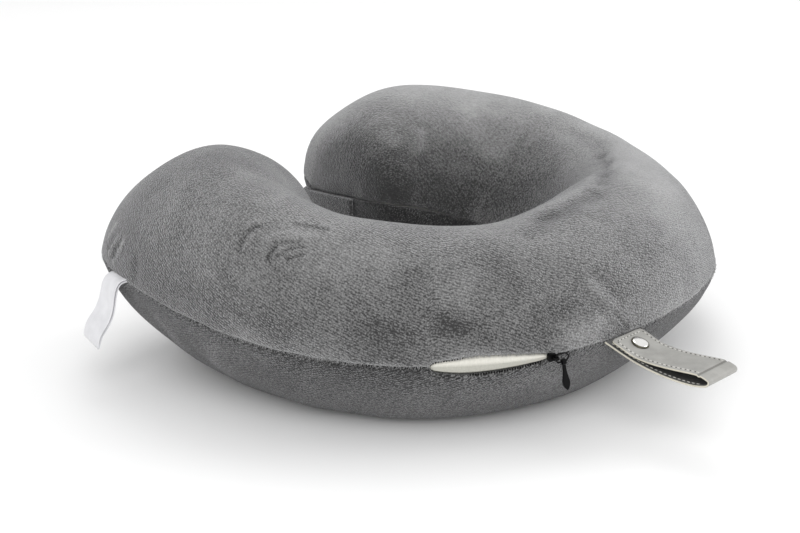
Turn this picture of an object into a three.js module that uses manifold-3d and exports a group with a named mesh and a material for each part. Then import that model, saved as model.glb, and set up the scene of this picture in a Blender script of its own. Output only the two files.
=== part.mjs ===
// Neck pillow for travelling: a U of moulded foam in a zipped plush cover of two panels, lying on its
// underside, with a leather carrying loop, a care label and a closure strap.
// Millimetres, +Z up. The mouth of the U faces -Y. The origin is on the floor, in the flat under the
// middle of the back of the neck.

import * as THREE from 'three';
import { mergeVertices } from 'three/addons/utils/BufferGeometryUtils.js';
import Module from 'manifold-3d';

const wasm = await Module();
wasm.setup();

const degree = Math.PI / 180;

// Plan of the U: how far the middle of the filling lies from the neck's axis. The three waves make the
// U deeper than it is wide, a little square, and drawn in towards its mouth. The origin's distance from
// the axis is that of the middle of the flat underside.
const neck = { radius: 106, deeper: 3, squarer: 1, drawnIn: -2, halfSweep: 152.5 };
const originRadius = 90;

// Sections across the U, from the middle of the back (at 0) to an arm's tip (at 1). The crown rises from
// the seams' height and the depth goes down from it, and lean moves the crown towards the neck.
const sections = [
  { at: 0, halfWidth: 39.5, crown: 56.5, outerSeam: 42.5, innerSeam: 24, lean: 0.3, depth: 38.5 },
  { at: 0.3, halfWidth: 39.5, crown: 49.5, outerSeam: 37.5, innerSeam: 30, lean: 0.02, depth: 41 },
  { at: 0.6, halfWidth: 44, crown: 55, outerSeam: 42, innerSeam: 38, lean: -0.26, depth: 47 },
  { at: 0.82, halfWidth: 53, crown: 52.5, outerSeam: 52.5, innerSeam: 47.5, lean: 0.07, depth: 57 },
  { at: 1, halfWidth: 62.5, crown: 46, outerSeam: 52.5, innerSeam: 50, lean: 0.18, depth: 56.5 },
];
const crownRoundness = 1.85;
const underRoundness = 1.8;
const underLean = 0.3;
const floorBlend = 4;
const tip = { length: 61, seamHeight: 46.5, fullness: 0.58 };

// Steps along the U and round it
const bodySteps = { beforeZip: 30, zip: 8, afterZip: 11, tip: 7 };
const crownSteps = 14;
const underSteps = 10;

// Cover and its zip. The lips stand apart as a long lens, from the slider to the far end of the opening.
const coverThickness = 2.2;
const pieceGap = 0.3;
const seamGap = 0.5;
const foamGap = 0.4;
const zip = { from: 0.262, to: 0.388, lipUp: 3.2, lipDown: 3.8 };
const zipTape = { width: 1, share: 0.45, near: 0.3, far: 1.9 };
const slider = { length: 3.6, nose: 3.4, tail: 2.6, thickness: 1.6 };
const sliderEye = { from: 1.4, length: 2.6, height: 2.4, width: 1, hole: 0.85 };
const link = { wire: 0.35, length: 6, height: 3.8, corner: 1.4 };
const pull = { headRadius: 1.3, headLength: 1.6, neckWidth: 1, width: 3, length: 11.5, thickness: 1.2, swing: 10 };

// Leather loop: a strip sewn into the seam by its lower end, folded back and snapped shut. The table
// goes from the seam, round the fold, to the free end: out from the seam and up from it.
const leather = { at: 0.168, heading: 14.5, width: 21, thickness: 1, cornerSteps: 40 };
const leatherFold = [
  { out: -2, up: -0.4 },
  { out: 3, up: -1.7 },
  { out: 12, up: -4 },
  { out: 20, up: -5.5 },
  { out: 28, up: -6.7 },
  { out: 36, up: -7.3 },
  { out: 43, up: -6.7 },
  { out: 47.6, up: -4.1 },
  { out: 43.5, up: -1.6 },
  { out: 36, up: -2.2 },
  { out: 28, up: -3.1 },
  { out: 20, up: -3.4 },
  { out: 12, up: -2.5 },
  { out: 6, up: -0.5 },
  { out: 1.7, up: 0.8 },
];
const snap = { out: 8.8, radius: 4.1, height: 1.3, backRadius: 3.6, backHeight: 1.1, gap: 0.65 };

// Care label: a strip folded double, sewn into the seam by both ends and hanging
const label = { at: 0.786, width: 15, thickness: 1, layerGap: 0.4 };
const labelHang = [
  { out: -1.5, up: 0.3 },
  { out: 2, up: -0.6 },
  { out: 4.6, up: -4.5 },
  { out: 6.2, up: -11 },
  { out: 9, up: -18 },
  { out: 12.6, up: -23.5 },
  { out: 13.8, up: -29.5 },
];

// Closure strap: a plush tab along the inner wall of the far arm, from the tip, just under the seam
const strap = { from: -0.9985, to: -0.958, top: 178, lowest: 60, width: 19, thickness: 2.6, off: 0.7 };
const strapSteps = { along: 10, across: 6, degrees: 0.5 };

const colours = {
  plush: 0x6d6c6c,
  plushUnder: 0x5f5e5e,
  foam: 0xe1ded7,
  black: 0x141414,
  leather: 0xa9a8a4,
  nickel: 0xd8d6d0,
  satin: 0xe7e6e3,
};
const finishes = {
  plush: new THREE.MeshStandardMaterial({ color: colours.plush, roughness: 0.95, metalness: 0 }),
  plushUnder: new THREE.MeshStandardMaterial({ color: colours.plushUnder, roughness: 0.95, metalness: 0 }),
  foam: new THREE.MeshStandardMaterial({ color: colours.foam, roughness: 0.9, metalness: 0 }),
  zip: new THREE.MeshStandardMaterial({ color: colours.black, roughness: 0.5, metalness: 0 }),
  leather: new THREE.MeshStandardMaterial({ color: colours.leather, roughness: 0.55, metalness: 0 }),
  nickel: new THREE.MeshStandardMaterial({ color: colours.nickel, roughness: 0.2, metalness: 1 }),
  satin: new THREE.MeshStandardMaterial({ color: colours.satin, roughness: 0.45, metalness: 0 }),
};

const pillow = new THREE.Group();

function add(name, geometry, material, parent = pillow) {
  const mesh = new THREE.Mesh(geometry, material);
  mesh.name = name;
  parent.add(mesh);
  return mesh;
}

// A natural cubic curve through the rows of a table, mirrored about the back of the neck
function smoothColumn(rows, column) {
  const mirrored = rows.slice(1).reverse().map((row) => ({ x: -row.at, y: row[column] }));
  const knots = [...mirrored, ...rows.map((row) => ({ x: row.at, y: row[column] }))];
  const last = knots.length - 1;
  const slope = (i) => (knots[i + 1].y - knots[i].y) / (knots[i + 1].x - knots[i].x);
  const bend = new Array(last + 1).fill(0);
  const carried = new Array(last + 1).fill(0);
  for (let i = 1; i < last; i++) {
    const reach = knots[i + 1].x - knots[i - 1].x;
    const share = (knots[i].x - knots[i - 1].x) / reach;
    const pivot = share * bend[i - 1] + 2;
    bend[i] = (share - 1) / pivot;
    carried[i] = (6 * (slope(i) - slope(i - 1)) / reach - share * carried[i - 1]) / pivot;
  }
  for (let i = last - 1; i > 0; i--) {
    bend[i] = bend[i] * bend[i + 1] + carried[i];
  }
  return (x) => {
    let i = 0;
    while (i < last - 1 && x > knots[i + 1].x) {
      i++;
    }
    const step = knots[i + 1].x - knots[i].x;
    const before = (knots[i + 1].x - x) / step;
    const after = 1 - before;
    const bow = (before ** 3 - before) * bend[i] + (after ** 3 - after) * bend[i + 1];
    return before * knots[i].y + after * knots[i + 1].y + bow * step * step / 6;
  };
}

const columns = ['halfWidth', 'crown', 'outerSeam', 'innerSeam', 'lean', 'depth'];
const curves = Object.fromEntries(columns.map((column) => [column, smoothColumn(sections, column)]));

class NeckLine extends THREE.Curve {
  getPoint(share, target = new THREE.Vector3()) {
    const angle = (2 * share - 1) * neck.halfSweep * degree;
    const waves = neck.deeper * Math.cos(angle) + neck.squarer * Math.cos(2 * angle);
    const radius = neck.radius + waves + neck.drawnIn * Math.cos(3 * angle);
    return target.set(radius * Math.sin(angle), radius * Math.cos(angle) - originRadius, 0);
  }
}

const neckLine = new NeckLine();
const halfLength = neckLine.getLength() / 2;
const bodyShare = 1 - tip.length / halfLength;

// One section's sizes and place, at a share of half the U's length from the middle of the back
function sectionAt(at) {
  const along = Math.abs(at);
  const middle = neckLine.getPointAt((at + 1) / 2);
  const tangent = neckLine.getTangentAt((at + 1) / 2);
  const intoTip = Math.max(0, (along - bodyShare) / (1 - bodyShare));
  const swell = Math.sqrt(Math.max(0, 1 - intoTip * intoTip));
  const settled = (column) => tip.seamHeight + (curves[column](along) - tip.seamHeight) * Math.sqrt(swell);
  return {
    middle,
    tangent,
    outward: new THREE.Vector3(-tangent.y, tangent.x, 0),
    halfWidth: curves.halfWidth(along) * swell,
    crown: curves.crown(along) * swell ** tip.fullness,
    depth: curves.depth(along) * swell,
    lean: curves.lean(along),
    outerSeam: settled('outerSeam'),
    innerSeam: settled('innerSeam'),
  };
}

function rounded(value, roundness) {
  return Math.sign(value) * Math.abs(value) ** (2 / roundness);
}

// The underside settles flat on the floor, with a short round edge to the flat
function ontoFloor(height) {
  if (height > floorBlend) {
    return height;
  }
  return height < -floorBlend ? 0 : (height + floorBlend) ** 2 / (4 * floorBlend);
}

// A point of the cover's outside: the angle goes from the outer seam (0) to the inner one (180 degrees)
function skinPoint(section, angle, under) {
  const roundness = under ? underRoundness : crownRoundness;
  const across = rounded(Math.cos(angle), roundness);
  const rise = rounded(Math.sin(angle), roundness);
  const lean = under ? underLean : section.lean;
  const seam = section.outerSeam + (section.innerSeam - section.outerSeam) * (1 - across) / 2;
  const height = under ? ontoFloor(seam - section.depth * rise) : seam + section.crown * rise;
  const out = section.halfWidth * (across - lean * rise);
  return section.middle.clone().addScaledVector(section.outward, out).setZ(height);
}

function evenly(from, to, steps) {
  return Array.from({ length: steps }, (_, i) => from + (to - from) * i / steps);
}

// Places of the sections: close together towards the round tips and the ends of the zip's opening
function places() {
  const nearTip = Array.from({ length: bodySteps.tip }, (_, i) => {
    return bodyShare + (1 - bodyShare) * Math.sin(90 * degree * i / bodySteps.tip);
  });
  const lens = Array.from({ length: bodySteps.zip }, (_, i) => {
    return zip.from + (zip.to - zip.from) * (1 - Math.cos(180 * degree * i / bodySteps.zip)) / 2;
  });
  return [
    ...nearTip.map((at) => -at).reverse(),
    ...evenly(-bodyShare, zip.from, bodySteps.beforeZip).slice(1),
    ...lens,
    ...evenly(zip.to, bodyShare, bodySteps.afterZip),
    ...nearTip,
  ];
}

// The skin as rows of points. Each row goes from the outer seam over the crown to the inner seam and
// back under the filling, and the first and last rows are the tips.
const rowPlaces = [-1, ...places(), 1];
const around = crownSteps + underSteps;
const rowSections = rowPlaces.map(sectionAt);
const skin = rowSections.map((section) => Array.from({ length: around + 1 }, (_, j) => {
  const under = j > crownSteps;
  const angle = under ? 180 * (around - j) / underSteps : 180 * j / crownSteps;
  return skinPoint(section, angle * degree, under);
}));
const lastRow = skin.length - 1;

function skinNormal(i, j) {
  if (i === 0 || i === lastRow) {
    return rowSections[i].tangent.clone().multiplyScalar(i === 0 ? -1 : 1);
  }
  const round = skin[i][(j + 1) % around].clone().sub(skin[i][(j + around - 1) % around]);
  const along = skin[i + 1][j].clone().sub(skin[i - 1][j]);
  return round.cross(along).normalize();
}

const normals = skin.map((row, i) => row.map((_, j) => skinNormal(i, j % around)));

function skinAt(i, j, inside) {
  return skin[i][j].clone().addScaledVector(normals[i][j], -inside);
}

// Triangles from quads of points, without those that have no area
function fromQuads(quads) {
  const numbers = [];
  for (const [a, b, c, d] of quads) {
    for (const corners of [[a, b, c], [a, c, d]]) {
      const [p, q, r] = corners;
      if (!p.equals(q) && !q.equals(r) && !r.equals(p)) {
        corners.forEach((corner) => numbers.push(corner.x, corner.y, corner.z));
      }
    }
  }
  const geometry = new THREE.BufferGeometry();
  geometry.setAttribute('position', new THREE.Float32BufferAttribute(numbers, 3));
  const merged = mergeVertices(geometry, 1e-4);
  merged.computeVertexNormals();
  return merged;
}

function sheetQuads(grid) {
  return grid.slice(1).flatMap((row, i) => row.slice(1).map((_, j) => {
    return [grid[i][j], grid[i][j + 1], grid[i + 1][j + 1], grid[i + 1][j]];
  }));
}

// A sheet with a thickness: two grids of points and the rim that joins them
function slab(outer, inner) {
  const rows = outer.length - 1;
  const end = outer[0].length - 1;
  const quads = [...sheetQuads(outer), ...sheetQuads(inner).map(([a, b, c, d]) => [a, d, c, b])];
  for (let i = 0; i < rows; i++) {
    quads.push([outer[i][0], outer[i + 1][0], inner[i + 1][0], inner[i][0]]);
    quads.push([outer[i + 1][end], outer[i][end], inner[i][end], inner[i + 1][end]]);
  }
  for (let j = 0; j < end; j++) {
    quads.push([outer[0][j + 1], outer[0][j], inner[0][j], inner[0][j + 1]]);
    quads.push([outer[rows][j], outer[rows][j + 1], inner[rows][j + 1], inner[rows][j]]);
  }
  return fromQuads(quads);
}

// The whole body as one closed solid, drawn in from the skin, or let out with a negative distance
function bodyGeometry(inside) {
  return fromQuads(sheetQuads(skin.map((row, i) => row.map((_, j) => skinAt(i, j % around, inside)))));
}

// How far a lip of the zip stands from the seam line: half a lens along the opening
function lipRise(at, side) {
  const across = 2 * (at - zip.from) / (zip.to - zip.from) - 1;
  return (side > 0 ? zip.lipUp : zip.lipDown) * Math.sqrt(Math.max(0, 1 - across * across));
}

function isLip(i) {
  return rowPlaces[i] > zip.from + 1e-6 && rowPlaces[i] < zip.to - 1e-6;
}

// A point of a lip's edge, on the upper (side 1) or lower (side -1) panel, at a depth into the cover
function lipPoint(i, side, inside) {
  const section = rowSections[i];
  const under = side < 0;
  const roundness = under ? underRoundness : crownRoundness;
  const reach = under ? section.depth : section.crown;
  const angle = Math.asin((lipRise(rowPlaces[i], side) / reach) ** (roundness / 2));
  const next = under ? around - 1 : 1;
  const stepAngle = 180 * degree / (under ? underSteps : crownSteps);
  const normal = normals[i][0].clone().lerp(normals[i][next], angle / stepAngle).normalize();
  return skinPoint(section, angle, under).addScaledVector(normal, -inside);
}

// One panel of the cover. Its edges keep half the seam's gap from the seam line.
function coverPanel(side) {
  const first = side > 0 ? 0 : crownSteps;
  const steps = side > 0 ? crownSteps : underSteps;
  const outerEdge = side > 0 ? 0 : steps;
  const sheet = (inside) => skin.map((row, i) => Array.from({ length: steps + 1 }, (_, k) => {
    const isEdge = k === 0 || k === steps || i === 0 || i === lastRow;
    const isOpen = k === outerEdge && isLip(i);
    const point = isOpen ? lipPoint(i, side, inside) : skinAt(i, (first + k) % around, inside);
    return isEdge ? point.setZ(point.z + side * seamGap / 2) : point;
  }));
  return slab(sheet(0), sheet(coverThickness));
}

// A zip tape with its teeth, along one lip of the opening
function zipTapeGeometry(side) {
  const rows = rowPlaces.map((_, i) => i).filter(isLip);
  const edge = (i, inside, drop) => {
    const point = lipPoint(i, side, inside);
    return point.setZ(point.z - side * (seamGap / 2 + drop));
  };
  const sheet = (inside) => rows.map((i) => {
    const width = Math.min(zipTape.width, zipTape.share * lipRise(rowPlaces[i], side));
    const ends = [edge(i, inside, width), edge(i, inside, 0)];
    return side > 0 ? ends : ends.reverse();
  });
  return slab(sheet(zipTape.near), sheet(zipTape.far));
}

function solidOf(geometry) {
  const bare = geometry.clone();
  bare.deleteAttribute('normal');
  bare.deleteAttribute('uv');
  const merged = mergeVertices(bare, 1e-4);
  return new wasm.Manifold(new wasm.Mesh({
    numProp: 3,
    vertProperties: merged.attributes.position.array,
    triVerts: new Uint32Array(merged.index.array),
  }));
}

function geometryOf(solid) {
  const mesh = solid.getMesh();
  const geometry = new THREE.BufferGeometry();
  geometry.setAttribute('position', new THREE.BufferAttribute(mesh.vertProperties, 3));
  geometry.setIndex(new THREE.BufferAttribute(mesh.triVerts, 1));
  geometry.computeVertexNormals();
  return geometry;
}

// A group whose X runs along the given direction, Y up, and Z sideways
function frameAt(origin, along) {
  const up = new THREE.Vector3(0, 0, 1);
  const group = new THREE.Group();
  group.position.copy(origin);
  group.quaternion.setFromRotationMatrix(new THREE.Matrix4().makeBasis(along, up, along.clone().cross(up)));
  group.updateMatrixWorld(true);
  return group;
}

function throughTable(table) {
  return new THREE.SplineCurve(table.map((row) => new THREE.Vector2(row.out, row.up)));
}

// The outline of a strip seen from its side, half its thickness to either side of its middle line
function stripOutline(path, steps, half, endRadius = 0) {
  const sides = [[], []];
  for (let i = 0; i <= steps; i++) {
    const middle = path.getPointAt(i / steps);
    const along = path.getTangentAt(i / steps);
    const thin = i === 0 || i === steps ? half - endRadius : half;
    sides[0].push(new THREE.Vector2(middle.x + along.y * thin, middle.y - along.x * thin));
    sides[1].push(new THREE.Vector2(middle.x - along.y * thin, middle.y + along.x * thin));
  }
  return new THREE.Shape([...sides[0], ...sides[1].reverse()]);
}

function extruded(shape, width) {
  const geometry = new THREE.ExtrudeGeometry(shape, { depth: width, bevelEnabled: false, curveSegments: 10 });
  return geometry.translate(0, 0, -width / 2);
}

// A strip sewn into the seam is cut off where it meets the cover
const seamClearance = solidOf(bodyGeometry(-seamGap));

function cutAtSeam(geometry, frame) {
  return geometryOf(solidOf(geometry.applyMatrix4(frame.matrixWorld)).subtract(seamClearance));
}

function seamPoint(at) {
  return skinPoint(sectionAt(at), 0, false);
}

function addCover() {
  add('core', bodyGeometry(coverThickness + foamGap), finishes.foam);
  add('cover_upper', coverPanel(1), finishes.plush);
  add('cover_lower', coverPanel(-1), finishes.plushUnder);
  add('zip_tape_upper', zipTapeGeometry(1), finishes.zip);
  add('zip_tape_lower', zipTapeGeometry(-1), finishes.zip);
}

// Slider, link and pull: X runs along the seam away from the opening, Y up and Z out of the cover
function addZipPull() {
  const nose = seamPoint(zip.from + 0.004);
  const away = sectionAt(zip.from).tangent.clone().multiplyScalar(-1);
  const frame = frameAt(nose, away);
  frame.translateZ(pieceGap);
  pillow.add(frame);

  const plate = new THREE.Shape([
    new THREE.Vector2(0, -slider.nose / 2 + 0.6),
    new THREE.Vector2(0.6, -slider.nose / 2),
    new THREE.Vector2(slider.length, -slider.tail / 2),
    new THREE.Vector2(slider.length, slider.tail / 2),
    new THREE.Vector2(0.6, slider.nose / 2),
    new THREE.Vector2(0, slider.nose / 2 - 0.6),
  ]);
  const plateGeometry = new THREE.ExtrudeGeometry(plate, { depth: slider.thickness, bevelEnabled: false });
  const eye = new THREE.Shape([
    new THREE.Vector2(sliderEye.from, 0),
    new THREE.Vector2(sliderEye.from + sliderEye.length, 0),
    new THREE.Vector2(sliderEye.from + sliderEye.length, sliderEye.height - 0.4),
    new THREE.Vector2(sliderEye.from + sliderEye.length - 0.4, sliderEye.height),
    new THREE.Vector2(sliderEye.from + 0.4, sliderEye.height),
    new THREE.Vector2(sliderEye.from, sliderEye.height - 0.4),
  ]);
  const holeX = sliderEye.from + sliderEye.length / 2;
  const holeY = sliderEye.height / 2;
  eye.holes.push(new THREE.Path().absarc(holeX, holeY, sliderEye.hole, 0, 2 * Math.PI, true));
  const eyeGeometry = extruded(eye, sliderEye.width).rotateX(90 * degree);
  eyeGeometry.translate(0, 0, slider.thickness - 0.05);
  const body = solidOf(plateGeometry).add(solidOf(eyeGeometry));
  add('zip_slider', geometryOf(body), finishes.zip, frame);

  // The link lies level with the eye's hole, and its lower side carries the pull
  const linkOut = slider.thickness - 0.05 + holeY;
  const half = link.height / 2;
  const corners = [
    [0, -half + link.corner],
    [0, half - link.corner],
    [link.corner * 0.6, half],
    [link.length - link.corner, half],
    [link.length, 0.2],
    [link.length - link.corner, -half],
    [link.corner * 0.6, -half],
  ];
  const path = new THREE.CurvePath();
  corners.forEach(([x, y], i) => {
    const [nextX, nextY] = corners[(i + 1) % corners.length];
    path.add(new THREE.LineCurve3(
      new THREE.Vector3(holeX + x, y, linkOut),
      new THREE.Vector3(holeX + nextX, nextY, linkOut),
    ));
  });
  const loopCurve = new THREE.CatmullRomCurve3(path.getSpacedPoints(28).slice(0, 28), true);
  add('zip_link', new THREE.TubeGeometry(loopCurve, 28, link.wire, 6, true), finishes.zip, frame);

  const hung = new THREE.Group();
  hung.position.set(holeX + link.length - link.corner - 1, -half, linkOut);
  hung.rotation.z = pull.swing * degree;
  frame.add(hung);
  const head = new THREE.CylinderGeometry(pull.headRadius, pull.headRadius, pull.headLength, 12);
  const hole = new THREE.CylinderGeometry(sliderEye.hole, sliderEye.hole, pull.headLength * 2, 12);
  const bottom = -pull.headRadius - pull.length;
  const widest = bottom + pull.length * 0.36;
  const paddle = new THREE.Shape();
  paddle.moveTo(-pull.neckWidth / 2, -pull.headRadius + 0.3);
  paddle.quadraticCurveTo(-pull.neckWidth / 2, widest + 4, -pull.width / 2, widest);
  paddle.quadraticCurveTo(-pull.width / 2, bottom + 1, 0, bottom);
  paddle.quadraticCurveTo(pull.width / 2, bottom + 1, pull.width / 2, widest);
  paddle.quadraticCurveTo(pull.neckWidth / 2, widest + 4, pull.neckWidth / 2, -pull.headRadius + 0.3);
  const tab = extruded(paddle, pull.thickness);
  const barrel = solidOf(head.rotateZ(90 * degree)).add(solidOf(tab));
  add('zip_pull', geometryOf(barrel.subtract(solidOf(hole.rotateZ(90 * degree)))), finishes.zip, hung);
}

// Leather loop with its snap: X runs out from the seam, Y up, and Z across the strip
function addLoop() {
  const heading = leather.heading * degree;
  const frame = frameAt(seamPoint(leather.at), new THREE.Vector3(Math.sin(heading), Math.cos(heading), 0));
  const path = throughTable(leatherFold);
  const shape = stripOutline(path, leather.cornerSteps, leather.thickness / 2, 0.2);
  add('loop', cutAtSeam(extruded(shape, leather.width), frame), finishes.leather);

  pillow.add(frame);
  const share = (from, to) => {
    const samples = Array.from({ length: 200 }, (_, i) => from + (to - from) * i / 199);
    const near = (t) => Math.abs(path.getPointAt(t).x - snap.out);
    return samples.reduce((best, t) => (near(t) < near(best) ? t : best));
  };
  const seat = (t, way) => {
    const group = new THREE.Group();
    const middle = path.getPointAt(t);
    const along = path.getTangentAt(t);
    group.position.set(middle.x, middle.y, 0);
    group.rotation.z = Math.atan2(along.y, along.x) + (along.x < 0 ? Math.PI : 0);
    group.translateY(way * (leather.thickness / 2 + snap.gap));
    frame.add(group);
    return group;
  };
  const disc = (radius, height) => new THREE.LatheGeometry([
    new THREE.Vector2(0, 0),
    new THREE.Vector2(radius * 0.92, 0),
    new THREE.Vector2(radius, height * 0.35),
    new THREE.Vector2(radius * 0.9, height * 0.7),
    new THREE.Vector2(radius * 0.55, height * 0.95),
    new THREE.Vector2(0, height),
  ], 24);
  add('snap_cap', disc(snap.radius, snap.height), finishes.nickel, seat(share(0.6, 1), 1));
  const back = disc(snap.backRadius, snap.backHeight).rotateX(180 * degree);
  add('snap_back', back, finishes.nickel, seat(share(0, 0.4), -1));
}

// Care label: its two layers hang a little apart from the seam to the fold
function addLabel() {
  const section = sectionAt(label.at);
  const frame = frameAt(seamPoint(label.at), section.outward);
  const path = throughTable(labelHang);
  const steps = 16;
  const reach = label.layerGap / 2 + label.thickness;
  const outside = [[], []];
  const inside = [[], []];
  for (let i = 0; i <= steps; i++) {
    const middle = path.getPointAt(i / steps);
    const along = path.getTangentAt(i / steps);
    const across = new THREE.Vector2(-along.y, along.x);
    [1, -1].forEach((side, k) => {
      outside[k].push(middle.clone().addScaledVector(across, side * reach));
      inside[k].push(middle.clone().addScaledVector(across, side * label.layerGap / 2));
    });
  }
  const end = path.getPointAt(1).addScaledVector(path.getTangentAt(1), label.thickness);
  const shape = new THREE.Shape([
    ...outside[1],
    end,
    ...outside[0].reverse(),
    ...inside[0],
    ...inside[1].reverse(),
  ]);
  add('label', cutAtSeam(extruded(shape, label.width), frame), finishes.satin);
}

// Closure strap: it follows the inner wall under the seam, a gap off it, and is as wide all along
function addStrap() {
  const wall = (at, angle) => skinPoint(sectionAt(at), angle * degree, true);
  const angleDown = (at, drop) => {
    let angle = strap.top;
    let gone = 0;
    while (gone < drop && angle > strap.lowest) {
      gone += wall(at, angle).distanceTo(wall(at, angle - strapSteps.degrees));
      angle -= strapSteps.degrees;
    }
    return angle;
  };
  const sheet = (off) => Array.from({ length: strapSteps.along + 1 }, (_, i) => {
    const at = strap.from + (strap.to - strap.from) * (i / strapSteps.along) ** 2;
    return Array.from({ length: strapSteps.across + 1 }, (_, j) => {
      const angle = angleDown(at, strap.width * j / strapSteps.across);
      const round = wall(at, angle - 1).sub(wall(at, angle + 1));
      const along = wall(at + 0.0005, angle).sub(wall(at - 0.0005, angle));
      return wall(at, angle).addScaledVector(round.cross(along).normalize(), off);
    });
  });
  add('closure_strap', slab(sheet(strap.off + strap.thickness), sheet(strap.off)), finishes.plush);
}

addCover();
addZipPull();
addLoop();
addLabel();
addStrap();

export default pillow;
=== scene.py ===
from math import radians

import bmesh
import bpy
import numpy as np
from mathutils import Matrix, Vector


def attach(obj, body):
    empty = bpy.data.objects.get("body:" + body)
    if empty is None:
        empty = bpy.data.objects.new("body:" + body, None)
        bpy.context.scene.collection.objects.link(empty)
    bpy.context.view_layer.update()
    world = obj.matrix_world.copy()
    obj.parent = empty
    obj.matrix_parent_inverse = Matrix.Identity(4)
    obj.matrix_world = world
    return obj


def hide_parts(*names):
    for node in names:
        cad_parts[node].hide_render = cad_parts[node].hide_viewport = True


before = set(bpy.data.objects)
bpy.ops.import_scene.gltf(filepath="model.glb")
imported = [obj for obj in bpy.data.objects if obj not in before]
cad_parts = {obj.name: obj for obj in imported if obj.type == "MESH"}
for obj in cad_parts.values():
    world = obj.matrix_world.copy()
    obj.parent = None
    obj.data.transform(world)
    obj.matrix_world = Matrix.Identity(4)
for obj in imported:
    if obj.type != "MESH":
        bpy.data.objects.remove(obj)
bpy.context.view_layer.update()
mm = 0.001

# the U's plan and its sections, as in the part: the origin lies this far behind the neck's axis
neck = {"radius": 106, "deeper": 3, "squarer": 1, "drawnIn": -2, "sweep": 152.5, "origin": 90}
tip = {"length": 61, "seamHeight": 46.5, "fullness": 0.58}
sections = {
    "at": (0, 0.3, 0.6, 0.82, 1),
    "halfWidth": (39.5, 39.5, 44, 53, 62.5),
    "crown": (56.5, 49.5, 55, 52.5, 46),
    "outerSeam": (42.5, 37.5, 42, 52.5, 52.5),
    "innerSeam": (24, 30, 38, 47.5, 50),
    "lean": (0.3, 0.02, -0.26, 0.07, 0.18),
    "depth": (38.5, 41, 47, 57, 56.5),
}
skin = {"crownRoundness": 1.85, "underRoundness": 1.8, "underLean": 0.3, "floorBlend": 4}


def unit(vectors):
    # each vector divided by its own length
    return vectors / np.linalg.norm(vectors, axis=-1, keepdims=True)


def quarterTurn(heading):
    # headings turned left by a right angle: the new x is minus the old y, and the new y is the old x
    turned = np.zeros_like(heading)
    turned[..., 0], turned[..., 1] = -heading[..., 1], heading[..., 0]
    return turned


def walkOn(points, axis=0):
    # distance from the first point of a row, as the running sum of its steps
    steps = np.diff(points, axis=axis, prepend=np.take(points, [0], axis))
    return np.cumsum(np.linalg.norm(steps, axis=-1), axis)


def readOff(table, walk, walks):
    # the table's columns at given walks, on straight lines between its rows
    return np.stack([np.interp(walks, walk, column) for column in table.T], -1)


def bell(away, width=1):
    # one in the middle, and down by the exponential of the square of the distance over the width
    return np.exp(-((away / width) ** 2))


def roundEdge(edge, radius):
    # quarter circle: zero at an edge, and one from the radius inwards
    return np.sqrt(1 - (1 - np.clip(edge / radius, 0, 1)) ** 2)


def smoothRow(knotX, knotY, x):
    # natural cubic through the knots: a straight line on each span plus a bow from the second slopes
    knotX, knotY = np.asarray(knotX, float), np.asarray(knotY, float)
    x = np.clip(x, knotX[0], knotX[-1])
    step, count = np.diff(knotX), len(knotX)
    inner = np.arange(1, count - 1)
    system, pull = np.eye(count), np.zeros(count)
    system[inner, inner - 1] = step[:-1]
    system[inner, inner] = 2 * (step[:-1] + step[1:])
    system[inner, inner + 1] = step[1:]
    pull[inner] = 6 * np.diff(np.diff(knotY) / step)
    bend = np.linalg.solve(system, pull)
    i = np.clip(np.searchsorted(knotX, x) - 1, 0, count - 2)
    before = (knotX[i + 1] - x) / step[i]
    after = 1 - before
    bow = (before**3 - before) * bend[i] + (after**3 - after) * bend[i + 1]
    return before * knotY[i] + after * knotY[i + 1] + bow * step[i] ** 2 / 6


def neckRadius(turn):
    # circle plus three cosine waves of the turn about the neck's axis
    waves = neck["deeper"] * np.cos(turn) + neck["squarer"] * np.cos(2 * turn)
    return neck["radius"] + waves + neck["drawnIn"] * np.cos(3 * turn)


turns = np.linspace(-radians(neck["sweep"]), radians(neck["sweep"]), 6001)
walked = walkOn(np.stack([neckRadius(turns) * np.sin(turns), neckRadius(turns) * np.cos(turns)], -1))
halfLength = walked[-1] / 2
bodyShare = 1 - tip["length"] / halfLength


def neckLine(at):
    # place and heading on the neck line, at a share of half its length from the middle of the back
    turn = np.interp(at, walked / halfLength - 1, turns)
    slope = (neckRadius(turn + 1e-4) - neckRadius(turn - 1e-4)) / 2e-4
    radius, s, c = neckRadius(turn), np.sin(turn), np.cos(turn)
    place = np.stack([radius * s, radius * c - neck["origin"], 0 * s], -1)
    heading = np.stack([slope * s + radius * c, slope * c - radius * s, 0 * s], -1)
    return place, unit(heading)


def sectionSize(name, along):
    # smooth row through the table's sizes, mirrored at the middle of the back
    row, knots = np.array(sections[name]), np.array(sections["at"])
    return smoothRow(np.append(-knots[:0:-1], knots), np.append(row[:0:-1], row), along)


def rounded(value, roundness):
    # sign kept, size raised to two over the roundness, as in a superellipse
    return np.sign(value) * np.abs(value) ** (2 / roundness)


def onFloor(height):
    # straight above the blend, zero below it, and a parabola between them
    blend = skin["floorBlend"]
    return np.where(height > blend, height, np.where(height < -blend, 0, (height + blend) ** 2 / (4 * blend)))


def tipSwell(along):
    # one along the body, and a quarter circle down to zero over the tip's length
    return np.sqrt(1 - np.clip((along - bodyShare) / (1 - bodyShare), 0, 1) ** 2)


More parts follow.
